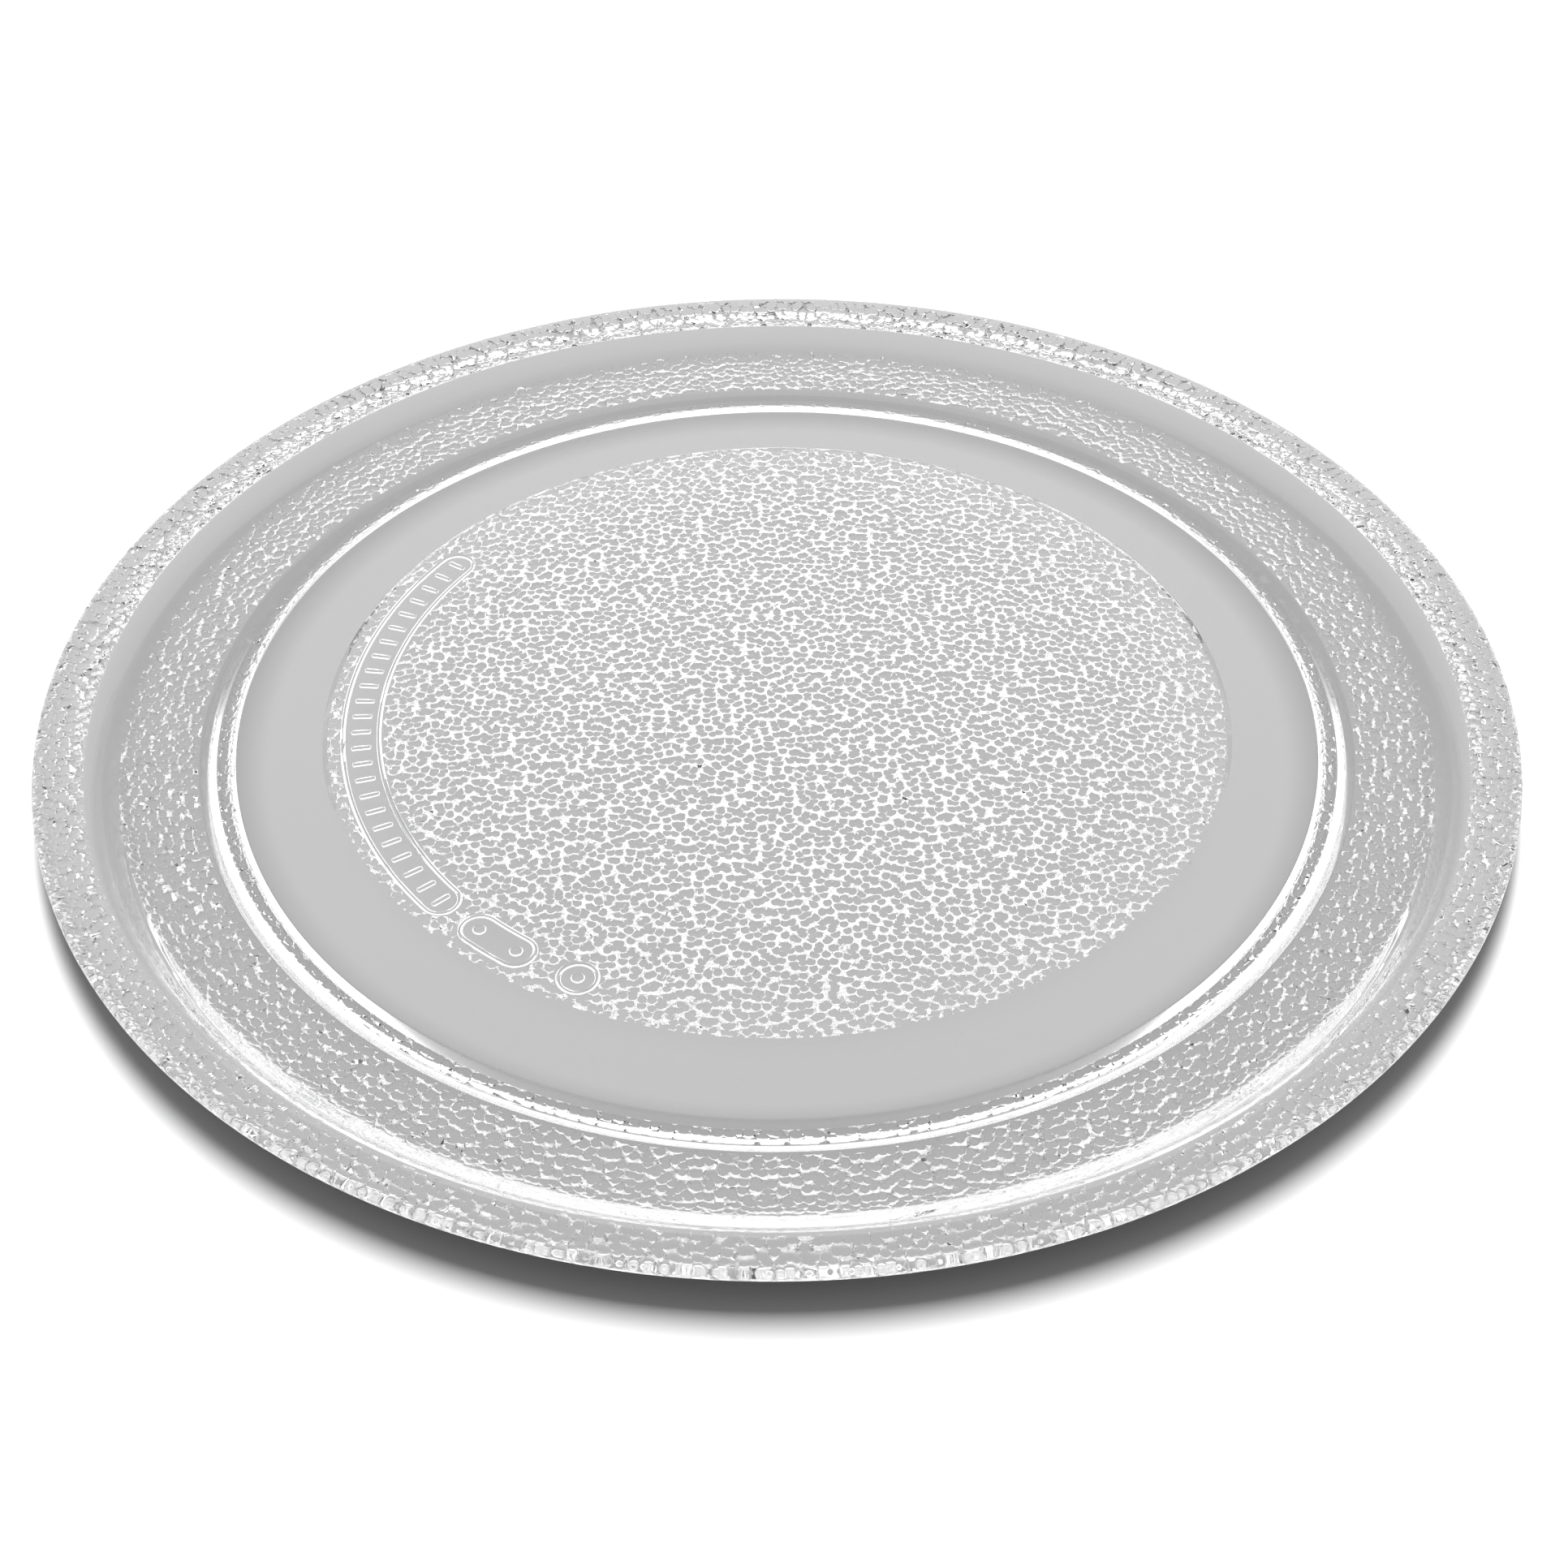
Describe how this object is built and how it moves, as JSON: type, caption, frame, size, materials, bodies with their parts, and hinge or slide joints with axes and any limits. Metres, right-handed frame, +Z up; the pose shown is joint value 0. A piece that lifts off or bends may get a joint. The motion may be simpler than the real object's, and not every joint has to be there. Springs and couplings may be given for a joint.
{
  "type": "microwave turntable plate",
  "caption": "Round pressed-glass turntable plate with a low raised rim, a stippled underside, a smooth roller track and a foot ring under it.",
  "frame": {"origin": "on the plate's axis, at the level of the foot ring it stands on", "axes": "+Z up along the plate's axis, out of the face food stands on; the row of panels under the plate is towards -X"},
  "size_m": [0.245, 0.245, 0.0106],
  "materials": {
    "pressed_glass": "clear pressed glass, polished on top, stippled underneath"
  },
  "bodies": {
    "root": {"glass_plate": "pressed_glass"}
  },
  "joints": []
}
